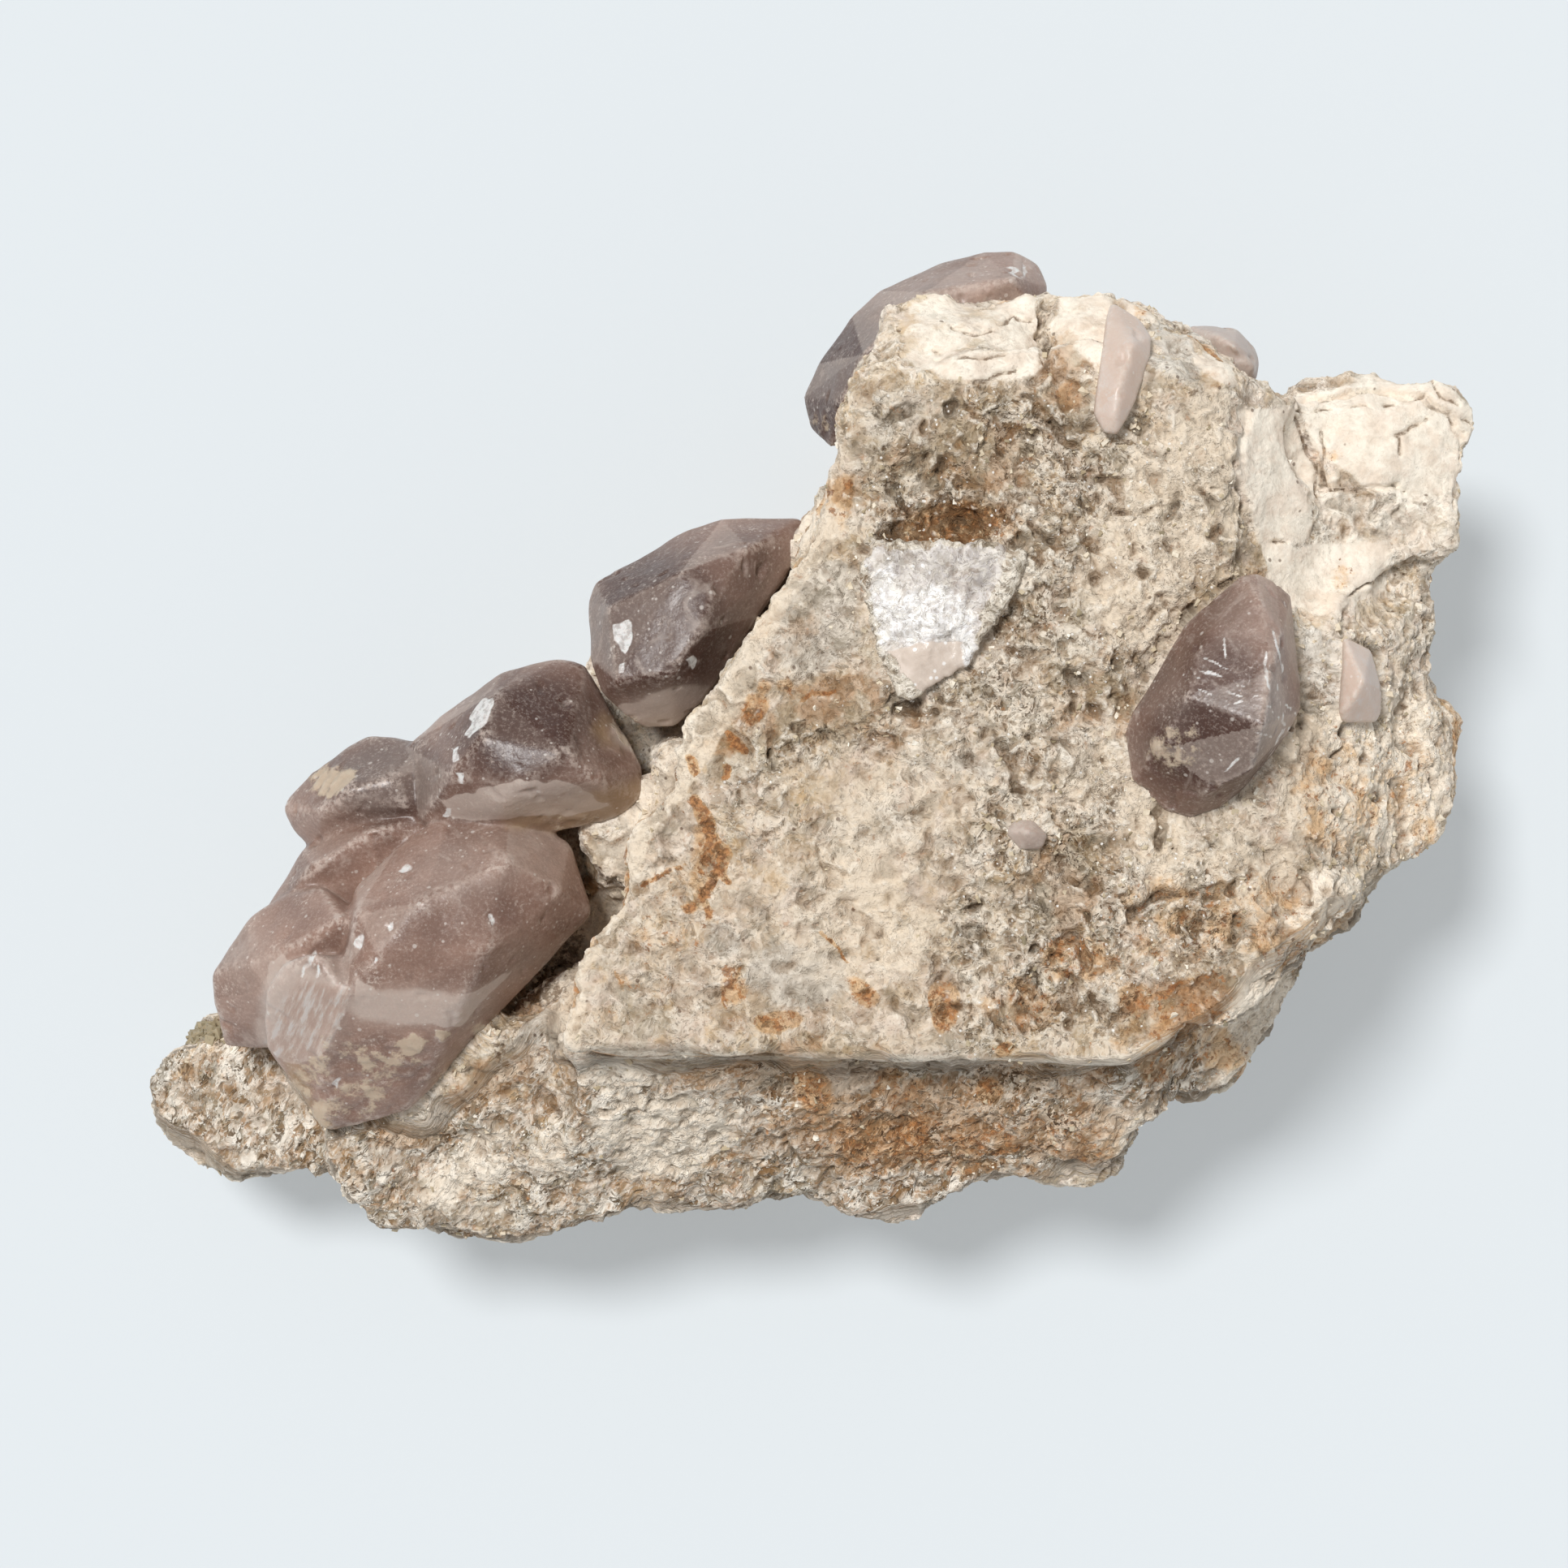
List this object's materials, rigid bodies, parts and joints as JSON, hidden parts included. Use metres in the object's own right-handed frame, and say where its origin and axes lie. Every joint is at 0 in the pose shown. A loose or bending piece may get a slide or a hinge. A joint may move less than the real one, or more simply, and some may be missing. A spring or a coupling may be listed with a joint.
{
  "type": "calcite crystal specimen",
  "caption": "Hand specimen of mauve calcite crystals along the edge of a block of pale, vuggy carbonate rock with iron stains, on a trimmed flat back.",
  "frame": {"origin": "under the middle of the specimen's bounding box, on its trimmed back", "axes": "+X along the longest side, towards the wing; +Y towards the top rim; +Z out of the broken face"},
  "size_m": [0.1534, 0.115, 0.07],
  "materials": {
    "matrix_rock": "rough, vuggy carbonate rock with iron stains and chalky plates",
    "mauve_calcite": "glossy, cloudy and slightly see-through crystal",
    "pale_calcite": "satin, slightly see-through cleavage",
    "white_spar": "sugary, glinting spar"
  },
  "bodies": {
    "root": {"matrix": "matrix_rock", "crystal_cluster": "mauve_calcite", "crystal_upper": "mauve_calcite", "crystal_top": "mauve_calcite", "crystal_ridge": "mauve_calcite", "crystal_face": "mauve_calcite", "crystal_small": "mauve_calcite", "sliver_rim": "pale_calcite", "sliver_flank": "pale_calcite", "spar_white": "white_spar"}
  },
  "joints": []
}
